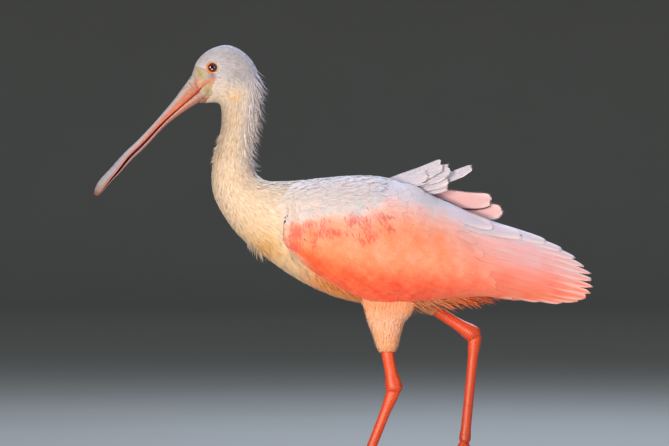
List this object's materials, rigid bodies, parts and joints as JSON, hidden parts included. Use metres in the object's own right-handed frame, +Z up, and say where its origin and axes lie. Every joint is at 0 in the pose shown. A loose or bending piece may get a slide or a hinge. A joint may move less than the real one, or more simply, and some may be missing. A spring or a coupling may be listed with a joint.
{
  "type": "roseate spoonbill",
  "caption": "Life-size still model of a young roseate spoonbill wading: long spatulate bill, feathered head, folded pink wings with raised back feathers, one leg trailing.",
  "frame": {"origin": "on the floor, under the middle of the bird from bill tip to wing tip and from side to side", "axes": "+Z up, the bill points towards -X and the tail towards +X, the bird's left side is towards -Y"},
  "size_m": [0.5196, 0.1308, 0.4757],
  "materials": {
    "pale_plumage": "matte",
    "pink_plumage": "matte",
    "bill_horn": "satin",
    "leg_skin": "satin",
    "claw_horn": "satin",
    "eye": "gloss"
  },
  "bodies": {
    "root": {"head": "pale_plumage", "neck_upper": "pale_plumage", "neck_lower": "pale_plumage", "torso": "pale_plumage", "mantle": "pale_plumage", "wing_left": "pink_plumage", "wing_right": "pink_plumage", "tail": "pink_plumage", "thigh_left": "pink_plumage", "thigh_right": "pink_plumage", "bill_upper": "bill_horn", "bill_lower": "bill_horn", "eye_left": "eye", "eye_right": "eye", "shank_left": "leg_skin", "shank_right": "leg_skin", "tarsus_left": "leg_skin", "tarsus_right": "leg_skin", "foot_left": "leg_skin", "foot_right": "leg_skin", "claw_left_inner": "claw_horn", "claw_left_middle": "claw_horn", "claw_left_outer": "claw_horn", "claw_left_hind": "claw_horn", "claw_right_inner": "claw_horn", "claw_right_middle": "claw_horn", "claw_right_outer": "claw_horn", "claw_right_hind": "claw_horn"}
  },
  "joints": []
}
